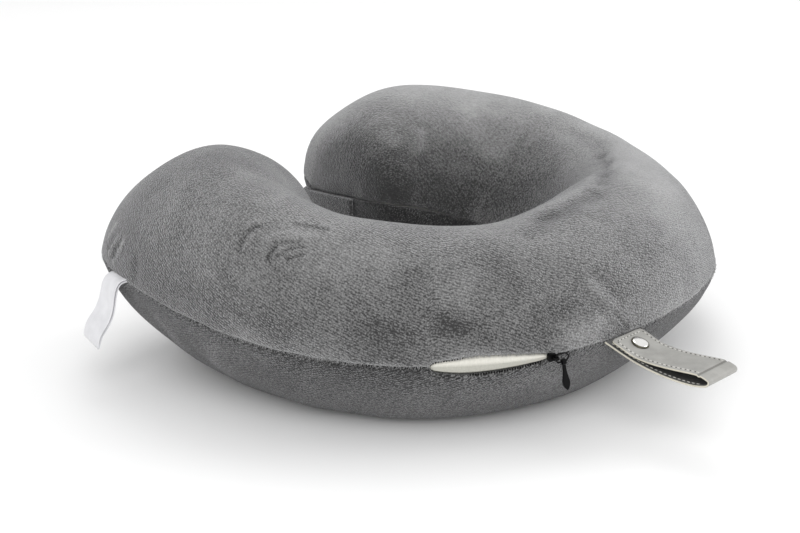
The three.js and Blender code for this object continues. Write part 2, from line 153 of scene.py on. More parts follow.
def skinPoint(at, angle, under=False):
    # superellipse section carried along the neck line: the angle goes from the outer seam to the inner one
    at, angle = np.broadcast_arrays(at, angle)
    along = np.abs(at)
    place, heading = neckLine(at)
    swell = tipSwell(along)
    outerSeam, innerSeam = (
        tip["seamHeight"] + (sectionSize(name, along) - tip["seamHeight"]) * np.sqrt(swell)
        for name in ("outerSeam", "innerSeam")
    )
    bulge = skin["underRoundness"] if under else skin["crownRoundness"]
    across, rise = rounded(np.cos(angle), bulge), rounded(np.sin(angle), bulge)
    lean = skin["underLean"] if under else sectionSize("lean", along)
    seam = outerSeam + (innerSeam - outerSeam) * (1 - across) / 2
    if under:
        height = onFloor(seam - sectionSize("depth", along) * swell * rise)
    else:
        height = seam + sectionSize("crown", along) * swell ** tip["fullness"] * rise
    out = sectionSize("halfWidth", along) * swell * (across - lean * rise)
    return place + quarterTurn(heading) * out[..., None] + np.stack([0 * out, 0 * out, height], -1)


def gridNormals(grid, flip=1):
    # cross product of the steps along the rows and across them, and the mean of a pole row's neighbours
    along, across = np.gradient(grid, axis=0), np.gradient(grid, axis=1)
    normal = flip * np.cross(across, along)
    for row, near in ((0, 1), (-1, -2)):
        if np.ptp(grid[row], axis=0).max() < 1e-6:
            normal[row] = normal[near].mean(0)
    return normal / np.maximum(np.linalg.norm(normal, axis=-1, keepdims=True), 1e-9)


def bodyRows(step, bands, capRows=(40, 40)):
    # stations along the U: even steps, shorter ones in each band, and a sine's bunching towards both tips
    fine = np.linspace(-bodyShare, bodyShare, 20001)
    size = np.full(fine.shape, float(step))
    for low, high, shorter in bands:
        size[(fine > low) & (fine < high)] = shorter
    count = np.cumsum(np.diff(fine, prepend=fine[0]) * halfLength / size)
    body = np.interp(np.linspace(0, count[-1], int(np.ceil(count[-1])) + 1), count, fine)
    far, near = (bodyShare + (1 - bodyShare) * np.sin(np.linspace(0, np.pi / 2, rows)) for rows in capRows)
    return np.concatenate([-far[:0:-1], body, near[1:]])


def bunched(count, share=0.75):
    # shares from 0 to 1, closer together at both ends: even steps mixed with half a cosine wave
    t = np.linspace(0, 1, count)
    return (1 - share) * t + share * (1 - np.cos(np.pi * t)) / 2


def clothPlan(along, across):
    # the cloth laid flat: a walk along the piece, and a walk across it
    return np.stack([np.broadcast_to(along, across.shape), across], -1)


def meshObject(name, points, faces, uv=None, lay=None, materials=(), faceMaterial=None, smooth=True):
    # object from points in mm: doubles merged, empty faces dissolved, and normals turned outward
    mesh = bpy.data.meshes.new(name)
    mesh.from_pydata((points.reshape(-1, 3) * mm).tolist(), [], [list(face) for face in faces])
    for material in materials:
        mesh.materials.append(material)
    if faceMaterial is not None:
        mesh.polygons.foreach_set("material_index", np.asarray(faceMaterial, np.int32))
    if uv is not None:
        corner = np.zeros(len(mesh.loops), np.int32)
        mesh.loops.foreach_get("vertex_index", corner)
        mesh.uv_layers.new(name="cloth").data.foreach_set("uv", (uv.reshape(-1, 2) * mm)[corner].ravel())
    # a tone per point for the shaders: the pile's lay together with painted shade and painted highlight
    if lay is not None:
        mesh.attributes.new("lay", "FLOAT", "POINT").data.foreach_set("value", lay.astype(np.float32).ravel())
    edit = bmesh.new()
    edit.from_mesh(mesh)
    bmesh.ops.remove_doubles(edit, verts=edit.verts, dist=1e-7)
    bmesh.ops.dissolve_degenerate(edit, edges=edit.edges, dist=1e-7)
    bmesh.ops.recalc_face_normals(edit, faces=edit.faces)
    edit.to_mesh(mesh)
    edit.free()
    mesh.polygons.foreach_set("use_smooth", np.full(len(mesh.polygons), smooth))
    mesh.update()
    piece = bpy.data.objects.new(name, mesh)
    bpy.context.collection.objects.link(piece)
    return piece


def tubeFaces(rows, ring, first=0):
    # quads between neighbouring rings of points, each ring closed on itself
    i, j = np.meshgrid(np.arange(rows - 1), np.arange(ring), indexing="ij")
    k = (j + 1) % ring
    quads = np.stack([i * ring + j, i * ring + k, (i + 1) * ring + k, (i + 1) * ring + j], -1)
    return quads.reshape(-1, 4) + first


def tube(name, rings, capped=False, **settings):
    # rings of points joined in order, with a flat face over each end if it is capped
    rows, ring = rings.shape[:2]
    caps = [range(ring)[::-1], range((rows - 1) * ring, rows * ring)] if capped else []
    return meshObject(name, rings, [*tubeFaces(rows, ring), *caps], **settings)


def handOver(piece, slot, *nodes):
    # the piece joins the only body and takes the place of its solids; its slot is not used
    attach(piece, "root")
    if nodes:
        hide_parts(*nodes)


# materials
def makeNode(tree, kind, settings=None, **inputs):
    # the outputs of a node with its settings, whose inputs, each a link or a value, go by name or by number
    node = tree.nodes.new("ShaderNode" + kind)
    for name, value in (settings or {}).items():
        setattr(node, name, value)
    for name, value in inputs.items():
        socket = node.inputs[int(name[1:])] if name[1:].isdigit() else node.inputs[name.replace("_", " ")]
        if isinstance(value, bpy.types.NodeSocket):
            tree.links.new(value, socket)
        else:
            socket.default_value = value
    return node.outputs


def combine(tree, operation, *values):
    # one math node on two or three values
    inputs = {f"_{i}": value for i, value in enumerate(values)}
    return makeNode(tree, "Math", {"operation": operation}, **inputs)[0]


def spread(tree, value, low, high, start, end, clamp=True):
    # straight line that takes low to high onto start to end
    return makeNode(tree, "MapRange", {"clamp": clamp}, _0=value, _1=low, _2=high, _3=start, _4=end)[0]


def mix(tree, share, first, second, clamp=True):
    # colour on the line between two others
    settings = {"data_type": "RGBA", "clamp_factor": clamp}
    return makeNode(tree, "Mix", settings, _0=share, _6=first, _7=second)[2]


def makeGroup(name, **inputs):
    # an empty shader group for a colour and a height: the tree, what it is given and what it gives
    tree = bpy.data.node_groups.new(name, "ShaderNodeTree")
    for way, sockets in (("INPUT", inputs), ("OUTPUT", {"Colour": "Color", "Height": "Float"})):
        for socket, kind in sockets.items():
            tree.interface.new_socket(socket, in_out=way, socket_type="NodeSocket" + kind)
    return tree, tree.nodes.new("NodeGroupInput").outputs, tree.nodes.new("NodeGroupOutput").inputs


def rgb(*levels):
    # screen levels from 0 to 255 as linear light: three of them, or one for a grey
    level = np.array((levels * 3)[:3]) / 255
    linear = np.where(level > 0.04045, ((level + 0.055) / 1.055) ** 2.4, level / 12.92)
    return (*linear.tolist(), 1)


def newMaterial(name, **sockets):
    # a material whose constant values stand on its own shader's sockets
    material = bpy.data.materials.new(name)
    material.use_nodes = True
    tree = material.node_tree
    shader = tree.nodes["Principled BSDF"]
    for socket, value in sockets.items():
        shader.inputs[socket.replace("_", " ")].default_value = value
    return material, tree, shader


def dress(tree, shader, colour, height, strength, distance):
    # a surface's colour, and its bump from a height
    bump = makeNode(tree, "Bump", Strength=strength, Distance=distance, Height=height)
    tree.links.new(colour, shader.inputs["Base Color"])
    tree.links.new(bump[0], shader.inputs["Normal"])


def pileGroup():
    # short crinkled pile: its height is tufts with gaps between them plus wavy ribs along the cloth, and its
    # colour goes from dark to light by that height, by patches where it lies over, and by how it is brushed
    # together with painted shade and painted highlight
    sockets = dict(Place="Vector", Cloth="Vector", Lay="Float", Dark="Color", Light="Color", Grain="Float")
    tree, given, out = makeGroup("shortPile", **sockets)
    place = given["Place"]
    stray = makeNode(tree, "TexNoise", Vector=place, Scale=420, Detail=2)[1]
    strayed = makeNode(
        tree, "VectorMath", {"operation": "MULTIPLY_ADD"}, _0=stray, _1=(0.0016,) * 3, _2=place
    )[0]
    tuft = makeNode(tree, "TexVoronoi", {"feature": "F1"}, Vector=strayed, Scale=1200)[0]
    grain = makeNode(tree, "TexNoise", Vector=place, Scale=1500, Detail=3, Roughness=0.75)[0]
    turned = makeNode(tree, "Mapping", Vector=given["Cloth"], Rotation=(0, 0, radians(-30)))[0]
    ribs = makeNode(
        tree, "TexWave", {"wave_type": "BANDS", "bands_direction": "Y"}, Vector=turned, Scale=290,
        Distortion=7, Detail=2.5, Detail_Scale=1.6,
    )[1]
    patch = makeNode(
        tree, "TexNoise", Vector=place, Scale=42, Detail=3, Roughness=0.55, Distortion=0.8
    )[0]
    broad = makeNode(tree, "TexNoise", Vector=place, Scale=13, Detail=2, Roughness=0.5)[0]
    fine = combine(tree, "MULTIPLY_ADD", grain, 1.4, spread(tree, tuft, 0.1, 0.72, 1, 0))
    height = combine(tree, "MULTIPLY_ADD", ribs, 0.58, fine)
    # the height's mean is 1.49, so the grain leaves the tone alone
    fineShare = combine(tree, "MULTIPLY", combine(tree, "SUBTRACT", height, 1.49), given["Grain"])
    lowShare = spread(tree, combine(tree, "ADD", patch, broad), 0.7, 1.3, -0.26, 0.26, clamp=False)
    laid = combine(tree, "ADD", combine(tree, "ADD", fineShare, lowShare), given["Lay"])
    share = combine(tree, "MAXIMUM", combine(tree, "ADD", laid, 0.5), 0.02)
    # pile that is brushed up or given a painted highlight goes past the light colour, so its grain stays
    colour = mix(tree, share, given["Dark"], given["Light"], clamp=False)
    tree.links.new(colour, out["Colour"])
    tree.links.new(height, out["Height"])
    return tree


shortPile = pileGroup()
plush = {
    "upper": {"dark": 52, "light": 142, "grain": 0.64, "sheen": 0.7, "sheenSpread": 0.4},
    # the lower panel is the same fabric as the upper one: its darker colours are painted shade for its place
    # underneath
    "under": {"dark": 37, "light": 106, "grain": 1.6, "sheen": 0.35, "sheenSpread": 0.45},
    "bump": 0.8,
    "bumpHeight": 0.0005,
}


def plushMaterial(name, dark, light, grain, sheen, sheenSpread):
    # the pile's two colours by its height and by how it is brushed together with painted shade and painted
    # highlight, under a soft sheen
    material, tree, shader = newMaterial(
        name, Roughness=0.95, Specular_IOR_Level=0.15, Sheen_Weight=sheen, Sheen_Roughness=sheenSpread,
        Sheen_Tint=(0.9, 0.9, 0.92, 1),
    )
    where = makeNode(tree, "TexCoord")
    shadedAndBrushed = makeNode(tree, "Attribute", {"attribute_name": "lay"})["Fac"]
    pile = makeNode(
        tree, "Group", {"node_tree": shortPile}, Place=where["Object"], Cloth=where["UV"], Lay=shadedAndBrushed,
        Dark=rgb(dark), Light=rgb(light), Grain=grain,
    )
    dress(tree, shader, pile["Colour"], pile["Height"], plush["bump"], plush["bumpHeight"])
    return material


upperPlush = plushMaterial("plush upper", **plush["upper"])
shadedUnderPlush = plushMaterial("plush under", **plush["under"])


def knitMaterial():
    # the liner's fine knit: a wavy band pattern with a little grain, and painted shade below the foam's crest
    material, tree, shader = newMaterial("foam liner", Roughness=0.9, Specular_IOR_Level=0.2)
    where = makeNode(tree, "TexCoord")
    waves = makeNode(tree, "TexWave", {"wave_type": "BANDS"}, Vector=where["UV"], Scale=420, Distortion=1.5)
    grain = makeNode(tree, "TexNoise", Vector=where["Object"], Scale=900, Detail=3)[0]
    knit = mix(tree, grain, rgb(194, 192, 183), rgb(218, 216, 208))
    below = makeNode(tree, "Attribute", {"attribute_name": "lay"})["Fac"]
    # greyer knit below the crest: painted shade
    colour = mix(tree, below, knit, rgb(186, 185, 176))
    dress(tree, shader, colour, combine(tree, "ADD", waves[1], grain), 0.35, 0.0003)
    return material


def grainGroup():
    # cell-like leather grain with a little drift in its tone
    tree, given, out = makeGroup("fineGrain", Place="Vector", Dark="Color", Light="Color", Size="Float")
    place = given["Place"]
    cells = makeNode(tree, "TexVoronoi", {"feature": "DISTANCE_TO_EDGE"}, Vector=place, Scale=given["Size"])
    drift = makeNode(tree, "TexNoise", Vector=place, Scale=160, Detail=4)[0]
    colour = mix(tree, spread(tree, drift, 0.3, 0.7, 0, 1), given["Dark"], given["Light"])
    tree.links.new(colour, out["Colour"])
    tree.links.new(spread(tree, cells[0], 0, 0.25, 0, 1), out["Height"])
    return tree


fineGrain = grainGroup()


def grainMaterial(name, dark, light, size, bump, roughness, **sockets):
    # grain of a given size between two colours, with a shallow bump
    material, tree, shader = newMaterial(name, Roughness=roughness, **sockets)
    place = makeNode(tree, "TexCoord")["Object"]
    inputs = dict(Place=place, Dark=rgb(*dark), Light=rgb(*light), Size=size)
    grain = makeNode(tree, "Group", {"node_tree": fineGrain}, **inputs)
    dress(tree, shader, grain["Colour"], grain["Height"], bump, 0.0001)
    return material


foamLiner = knitMaterial()
greyLeather = grainMaterial("grey leather", (143, 142, 138), (162, 161, 157), 1600, 0.3, 0.42)
# darker leather for the pressed line across the loop: painted shade in the crease
creaseShadeLeather = grainMaterial("leather crease", (108, 107, 103), (122, 121, 117), 1600, 0.3, 0.5)
leatherLining = grainMaterial("leather lining", (74, 74, 74), (98, 98, 96), 1300, 0.4, 0.7)
leatherEdge = grainMaterial("leather edge", (182, 178, 164), (206, 202, 188), 1500, 0.3, 0.6)
# dark leather for the stitch holes: painted shade
stitchHole = grainMaterial("stitch hole", (72, 71, 68), (92, 91, 88), 1500, 0.2, 0.8)
leatherThread = grainMaterial("leather thread", (188, 187, 182), (214, 213, 208), 2500, 0.5, 0.6)
zipBlack = grainMaterial("zip black", (3, 3, 4), (9, 9, 10), 2200, 0.15, 0.4, Specular_IOR_Level=0.12)
zipTape = grainMaterial("zip tape", (10, 10, 11), (22, 22, 23), 1800, 0.6, 0.9, Specular_IOR_Level=0.1)
nickel = grainMaterial("polished nickel", (244, 243, 240), (250, 249, 247), 300, 0.02, 0.12, Metallic=1)
# darker nickel for the snap's rim and groove: painted dark reflection
nickelRim = grainMaterial("nickel rim", (70, 68, 58), (110, 107, 95), 900, 0.1, 0.3, Metallic=1)
satin = grainMaterial("satin ribbon", (205, 205, 208), (219, 219, 222), 2600, 0.2, 0.4, Sheen_Weight=0.2)
print("materials made")

# cover panels
zipLips = {
    "slider": 0.262, "farEnd": 0.388,
    "along": (0, 0.03, 0.1, 0.2, 0.28, 0.4, 0.55, 0.75, 0.94, 1),
    "up": (0, 2.0, 2.7, 3.3, 3.8, 4.1, 3.7, 2.8, 1.5, 1.0),
    "down": (0, 3.2, 4.0, 4.8, 5.2, 5.3, 5.0, 4.4, 3.3, 2.4),
    "ends": (0.0012, 0.004),
}
cover = {
    "thickness": 2.2, "rowStep": 2.4, "capRows": (32, 76),
    "bands": ((0.252, 0.398, 0.9), (0.5, 0.61, 0.8), (0.74, 0.79, 1), (0.155, 0.205, 0.8)),
    "upperColumns": 235, "underColumns": 90, "insideColumns": 22, "insideWalk": 46,
    "rollRadius": 2.2, "rollDepth": 1.1,
    "puckerHeight": 0.35, "puckerReach": 7, "puckerSize": 9, "puckerUpright": 0.15,
    "waveHeight": 0.55, "waveSize": 42, "waveMargin": 12,
    "tipFade": 40, "rollFade": 4, "floorFade": 3, "seamShift": 0.06,
    "rimHighlight": 0.45, "underRimHighlight": 0.2, "rimWidth": 1.1,
    "seeds": {"pucker": 3, "upper": 5, "under": 7},
}
# marks on the panels. A line is a row of places, each a share along the U and an angle round it in degrees.
# A crease or a fold has a height. The tone makes the pile lighter or darker: in part where it is brushed up
# or down, and in part as painted light, with painted shade along dents, under overhanging edges and on the
# far arm's inner wall, and painted highlight along ridges and the far arm's crest.
markColumns = ("line", "width", "height", "tone")
upperMarks = (
    # crease arcs on the near arm: painted shade along each dent and painted highlight along each ridge
    (((0.58, 60.5), (0.588, 57), (0.593, 51), (0.593, 44)), 0.9, -0.6, -0.4),
    (((0.545, 68.4), (0.53, 69.5), (0.505, 70.5)), 0.7, -0.5, -0.4),
    (((0.557, 53.7), (0.544, 55.6), (0.527, 59)), 0.7, -0.4, -0.3),
    (((0.541, 51.4), (0.532, 53.9), (0.524, 55.7)), 0.7, -0.5, -0.4),
    (((0.536, 47), (0.531, 49.2), (0.523, 50.8)), 0.8, -0.5, -0.36),
    (((0.559, 44.5), (0.557, 48.5), (0.553, 51.5)), 0.7, -0.6, -0.55),
    (((0.555, 43.8), (0.553, 46.9), (0.543, 49)), 0.8, -0.5, -0.36),
    (((0.554, 44.5), (0.551, 49), (0.547, 51.5)), 0.8, 0.3, 0.2),
    (((0.515, 62), (0.545, 60), (0.565, 54)), 1.8, 0.5, 0.12),
    # folds by the near arm's tip: painted highlight along their ridges and painted shade in the dents between
    # them
    (((0.824, 23.5), (0.83, 18.2), (0.834, 14.5)), 1.1, 0.8, 0.85),
    (((0.799, 19.2), (0.808, 12.7), (0.814, 8.9)), 1.1, 0.8, 0.85),
    (((0.782, 19.5), (0.789, 13.4), (0.8, 5.8)), 1.1, 0.8, 0.75),
    (((0.812, 19), (0.822, 11)), 1.5, -0.6, -0.5),
    (((0.795, 15.5), (0.803, 9)), 1.4, -0.6, -0.5),
    (((0.747, 15), (0.745, 11), (0.748, 6.5)), 2.6, -0.6, -0.32),
    (((0.7, 89), (0.675, 95)), 4, 0.3, 0.2),
    (((0.655, 105), (0.634, 112)), 4, 0.3, 0.2),
    (((0.79, 28), (0.79, 53), (0.755, 73), (0.717, 95)), 17, 0, -0.24),
    (((0.8, 20), (0.7, 16), (0.7, 34), (0.645, 48)), 13, 0, -0.17),
    (((0.645, 84), (0.63, 92)), 8, 0, -0.18),
    (((0.6, 54), (0.46, 57), (0.33, 50), (0.145, 52), (0.03, 52)), 18, 0, 0.16),
    # painted highlight along the far arm's crest and the back, and down the back's outer side
    (((-0.93, 74), (-0.78, 95), (-0.62, 98), (-0.45, 84), (-0.3, 70), (-0.1, 62)), 21, 0, 0.58),
    (((-0.3, 88), (-0.1, 72), (-0.02, 52), (-0.01, 30)), 16, 0, 0.2),
    (((0.77, 12), (0.68, 10), (0.58, 12), (0.42, 14)), 9, 0, -0.18),
    # painted shade on the far arm's inner wall
    (((-0.985, 150), (-0.955, 130)), 9, 0, -0.2),
    (((-0.97, 163), (-0.8, 168), (-0.63, 162), (-0.47, 155), (-0.3, 148)), 17, 0, -0.44),
    (((-0.776, 136), (-0.781, 142), (-0.79, 147)), 2.6, 0.7, 0.22),
    (((-0.874, 134), (-0.849, 141)), 3, 0.7, 0.2),
    (((-0.54, 120), (-0.535, 132)), 2, -0.6, -0.18),
    (((-0.975, 158), (-0.945, 167)), 3.4, 0.3, 0.3),
    # painted shadow under the upper panel's edge, over the closure strap
    (((-0.99, 172), (-0.955, 174)), 2.6, -0.4, -0.55),
    # the trough along the inner rim: painted shade along its dents and painted highlight along the ridge
    # beside them
    (((-0.455, 106), (-0.397, 102), (-0.313, 104)), 4.5, -1, -0.28),
    (((-0.313, 106), (-0.265, 107)), 3.2, -0.8, -0.5),
    (((-0.245, 102.5), (-0.18, 105)), 2.6, -0.9, -0.56),
    (((-0.155, 100), (-0.1, 100.5)), 3.6, -0.8, -0.5),
    (((-0.08, 95), (-0.03, 92)), 2.8, -0.9, -0.58),
    (((-0.015, 86), (0.039, 80)), 3.4, -0.8, -0.46),
    (((0.215, 75), (0.165, 72.5)), 3.4, -0.6, -0.46),
    (((0.145, 75.5), (0.085, 73)), 3.8, -0.7, -0.4),
    (((0.22, 87), (0.185, 87), (0.15, 86), (0.107, 86), (0.03, 88)), 3.2, 0.6, 0.2),
    (((0.003, 83.5), (-0.05, 83), (-0.1, 82)), 0.9, -0.5, -0.3),
    (((0.079, 80), (0.074, 70)), 0.9, -0.5, -0.26),
    (((0.251, 65), (0.198, 75)), 3, -0.4, -0.2),
    (((0.2, 29), (0.179, 17)), 2.6, 0.9, 0.26),
    (((0.176, 14), (0.161, 3)), 0.7, -0.6, -0.14),
    (((0.25, 38), (0.31, 52)), 9, -0.5, -0.12),
    (((0.333, 16), (0.347, 20), (0.37, 23)), 4.5, 0, -0.36),
    (((0.252, 5), (0.215, 6), (0.2, 12)), 3.5, 0.3, 0.2),
    (((0.05, 30), (0.03, 18)), 8, -0.3, -0.14),
    (((0.24, 7), (0.19, 9), (0.15, 10), (0.1, 5), (0.057, 4)), 5, 0, 0.26),
    # painted shade on the far arm's inner wall
    (((-0.985, 128), (-0.965, 142), (-0.973, 160)), 9, 0, -0.36),
    (((-0.67, 116), (-0.64, 131), (-0.6, 139)), 7, 0, 0.3),
    (((-0.45, 106), (-0.41, 118), (-0.37, 124)), 9, 0, 0.24),
    (((-0.86, 126), (-0.85, 137)), 6, 0, 0.2),
    (((-0.68, 150), (-0.6, 146), (-0.5, 140)), 8, 0, 0.12),
)
underMarks = (
    # painted shade on the far arm's lower inner wall
    (((-0.9, 160), (-0.8, 162), (-0.65, 165), (-0.52, 168)), 16, 0, -0.6),
    (((-0.998, 100), (-0.985, 40)), 5, 0, 0.4),
    (((0.343, 22), (0.287, 21), (0.236, 23)), 3.5, 0.2, 0.16),
    (((0.63, 45), (0.541, 36)), 7, 0, -0.16),
    (((0.727, 15), (0.719, 23), (0.727, 31)), 3, 0.3, 0.5),
    (((0.631, 14), (0.65, 24), (0.653, 40)), 3, 0.3, 0.5),
    (((0.69, 20), (0.675, 34)), 3, -0.3, -0.35),
    (((0.58, 22), (0.551, 20)), 5, 0, -0.18),
    (((0.52, 12), (0.42, 12), (0.33, 14)), 9, 0, -0.2),
    # painted shadow under the upper panel's overhanging edge
    (((0.6, 3), (0.5, 3), (0.4, 3)), 3, 0, -0.2),
    (((0.245, 14), (0.2, 22), (0.2, 38)), 10, 0, 0.32),
)
markShape = {"steps": 36, "reach": 4, "swell": 0.3, "swellAt": 2.1, "toneWidth": 1.2}
unevenWaves = {"count": 12, "lengths": (0.7, 1.5), "share": 0.2}


def lipRise(at, side):
    # a lip's height over the seam, read off its row by the share of the way from the opening's far end
    along = (zipLips["farEnd"] - at) / (zipLips["farEnd"] - zipLips["slider"])
    rise = np.interp(along, zipLips["along"], zipLips["up" if side > 0 else "down"])
    return np.where((along > 0) & (along < 1), rise, 0)


def lipAngle(at, side):
    # the angle at which the section stands as high above its seam as the lip does: the arc sine of the lip's
    # share of the section's height, raised to half the roundness
    name, bulge = ("crown", "crownRoundness") if side > 0 else ("depth", "underRoundness")
    return np.arcsin((lipRise(at, side) / sectionSize(name, np.abs(at))) ** (skin[bulge] / 2))


def unevenness(points, size, seed):
    # sum of a dozen plane waves with random headings, their lengths near the size, from about -1 to 1
    chance = np.random.default_rng(seed)
    count = unevenWaves["count"]
    heading = unit(chance.normal(size=(count, 3))) * (2 * np.pi / size)
    heading = heading * chance.uniform(*unevenWaves["lengths"], (count, 1))
    return np.sin(points @ heading.T + chance.uniform(0, 2 * np.pi, count)).sum(-1) * unevenWaves["share"]


def layMarks(surface, under):
    # each mark is a bell across its line, less a shallow bell on both sides of it
    height, tone = np.zeros(surface.shape[:-1]), np.zeros(surface.shape[:-1])
    for row in underMarks if under else upperMarks:
        mark = dict(zip(markColumns, row))
        knots, walk = np.linspace(0, 1, len(mark["line"])), np.linspace(0, 1, markShape["steps"])
        at, angle = (smoothRow(knots, column, walk) for column in zip(*mark["line"]))
        line = skinPoint(at, np.radians(angle), under)
        middle = line.mean(0)
        reach = np.linalg.norm(line - middle, axis=1).max() + markShape["reach"] * mark["width"]
        near = np.linalg.norm(surface - middle, axis=-1) < reach
        away = np.linalg.norm(surface[near][:, None] - line[None], axis=-1).min(1) / mark["width"]
        height[near] += mark["height"] * (bell(away) - markShape["swell"] * bell(away - markShape["swellAt"]))
        tone[near] += mark["tone"] * bell(away, markShape["toneWidth"])
    return height, tone


def panelSheet(name, side, material):
    # closed sheet: the outer face from seam to seam, then back along the inner face. The outer face stands
    # off the section by its waves, puckers and marks, and sinks by a quarter circle at its edges.
    under = side < 0
    at = bodyRows(cover["rowStep"], cover["bands"], cover["capRows"])[:, None]
    start = lipAngle(at, side)
    angle = start + (np.pi - start) * bunched(cover["underColumns" if under else "upperColumns"])[None]
    inner = start + (np.pi - start) * bunched(cover["insideColumns"])[None, ::-1]
    outside, inside = skinPoint(at, angle, under), skinPoint(at, inner, under)
    normal, innerNormal = gridNormals(outside, side), gridNormals(inside, -side)

    walk = walkOn(outside, 1)
    edge = np.minimum(walk, walk[:, -1:] - walk)
    sunk = cover["rollDepth"] * (1 - roundEdge(edge, cover["rollRadius"]))
    fade = np.clip(walk[:, -1:] / cover["tipFade"], 0, 1)
    flat = np.clip(outside[..., 2] / cover["floorFade"], 0, 1) if under else 1
    upright = outside * [1, 1, cover["puckerUpright"]]
    pucker = unevenness(upright, cover["puckerSize"], cover["seeds"]["pucker"])
    pucker = cover["puckerHeight"] * np.exp(-edge / cover["puckerReach"]) * pucker
    waves = unevenness(outside, cover["waveSize"], cover["seeds"]["under" if under else "upper"])
    waves = cover["waveHeight"] * flat * waves * np.clip(edge / cover["waveMargin"], 0, 1)
    height, tone = layMarks(outside, under)
    lift = (pucker + waves) * fade - sunk * np.clip(fade * cover["rollFade"], 0, 1) + height
    # painted highlight along both panels' outer edges, where the pile stands up and catches the light, less
    # on the lower one
    tone += cover["underRimHighlight" if under else "rimHighlight"] * bell(walk, cover["rimWidth"])
    surface = outside + normal * (lift * flat)[..., None]
    rings = np.concatenate([surface, inside - innerNormal * cover["thickness"]], 1)
    rings[:, :, 2] += cover["seamShift"] * side
    if under:
        rings[:, :, 2] = np.maximum(rings[:, :, 2], 0)
    cloth = [clothPlan(halfLength * at, across) for across in (walk, inner * cover["insideWalk"])]
    lay = np.concatenate([tone, np.zeros(inner.shape)], 1)
    piece = tube(name, rings, uv=np.concatenate(cloth, 1), lay=lay, materials=[material])
    area = sum(p.area for p in piece.data.polygons) / 2
    print(name, "area", round(area, 4), "faces", len(piece.data.polygons))
    return piece, area


upperPanel, upperArea = panelSheet("coverUpper", 1, upperPlush)
handOver(upperPanel, "plush", "cover_upper")
lowerPanel, lowerArea = panelSheet("coverLower", -1, shadedUnderPlush)
handOver(lowerPanel, "plush_under", "cover_lower")

# loose pile standing out of the upper panel's edge, over the seam and round the zip's upper lip
seamPile = {
    "seed": 11, "count": 2400, "ends": 0.96, "rootHeight": (0.1, 0.8), "length": (0.3, 0.9), "radius": 0.16,
    "inset": 0.7, "down": 0.9, "stray": 0.35, "tone": (0.5, 1.5),
}


def pileFringe():
    # three-sided spikes: a small base triangle square to each fibre's heading, and a point at its far end
    chance = np.random.default_rng(seamPile["seed"])
    count = seamPile["count"]
    at = np.sort(chance.uniform(-seamPile["ends"], seamPile["ends"], count))
    outward = quarterTurn(neckLine(at)[1])
    up = np.tile([0, 0, 1.0], (count, 1))
    root = skinPoint(at, np.maximum(lipAngle(at, 1), 1e-3)) - outward * seamPile["inset"]
    root = root + up * chance.uniform(*seamPile["rootHeight"], (count, 1))
    lean = unit(outward - up * seamPile["down"] + chance.normal(0, seamPile["stray"], (count, 3)))
    side = unit(np.cross(lean, up))
    turn = np.radians([0, 120, 240])[:, None]
    ring = side[:, None] * np.cos(turn) + np.cross(side, lean)[:, None] * np.sin(turn)
    base = root[:, None] + ring * seamPile["radius"]
    point = root + lean * (seamPile["inset"] + chance.uniform(*seamPile["length"], (count, 1)))
    corner = np.array([[0, 1, 3], [1, 2, 3], [2, 0, 3], [2, 1, 0]])
    faces = (corner + 4 * np.arange(count)[:, None, None]).reshape(-1, 3)
    # each fibre's tone lifts it past the panel's light colour: painted highlight along the seam
    tone = chance.uniform(*seamPile["tone"], (count, 1)) * np.ones((1, 4))
    points = np.concatenate([base, point[:, None]], 1)
    spikes = meshObject("seamPile", points, faces, lay=tone, materials=[upperPlush])
    handOver(spikes, "plush")
    return spikes


fringe = pileFringe()
print("cover made")

# foam in its liner, swelling into the zip's opening as far as the lips, with a crest along it
foam = {
    "under": 2.7, "swell": 2.6, "rise": 1.2,
    "crest": 38.4, "above": 9, "below": 5.5, "crestRound": 0.004, "crestLift": 0.06, "shade": 1.6,
    "rowStep": 3, "bands": ((0.25, 0.4, 0.9),), "columns": 120, "bunching": 0.93,
}


def foamBody():
    # the section less the cloth, plus a swell between the lips: a sine across the opening, and from the crest
    # an exponential of the rounded distance, shorter below it than above
    at = bodyRows(foam["rowStep"], foam["bands"])[:, None]
    angle = np.pi * bunched(foam["columns"], foam["bunching"])[None]
    above, below = skinPoint(at, angle), skinPoint(at, angle[:, ::-1], True)
    ring = np.concatenate([above[:, :-1], below[:, :-1]], 1)
    normal = gridNormals(np.concatenate([ring[:, -1:], ring, ring[:, :1]], 1))[:, 1:-1]
    place, heading = neckLine(at)
    outerSide = np.sum((ring - place) * quarterTurn(heading), -1) > 0
    over = ring[..., 2] - sectionSize("outerSeam", np.abs(at))
    inside = np.minimum(lipRise(at, 1) - over, over + lipRise(at, -1)) / foam["rise"]
    past = ring[..., 2] - foam["crest"]
    away = past / np.where(past > 0, foam["above"], foam["below"])
    reach = np.sin(np.pi / 2 * np.clip(inside, 0, 1)) * outerSide
    reach = reach * np.exp(foam["crestLift"] - np.sqrt(away**2 + foam["crestRound"]))
    ring = ring - normal * (foam["under"] - foam["swell"] * reach)[..., None]
    cloth = clothPlan(halfLength * at, walkOn(ring, 1))
    # the liner gets painted shade below the crest, deeper further down
    return tube("foamCore", ring, uv=cloth, lay=np.clip(-past / foam["shade"], 0, 1), materials=[foamLiner])


foamCore = foamBody()
handOver(foamCore, "foam", "core")
print("foam made")


# pieces sewn into the seam are laid out in a frame of their own: out from the seam, up, and across
def seamFrame(at, heading=None):
    # the seam's place, and three directions at right angles: out is square to the neck line, or has a heading
    out = quarterTurn(neckLine(at)[1])
    if heading is not None:
        out = np.array([np.sin(radians(heading)), np.cos(radians(heading)), 0])
    up = np.array([0, 0, 1.0])
    return skinPoint(at, 0.0), np.array([out, up, np.cross(out, up)])


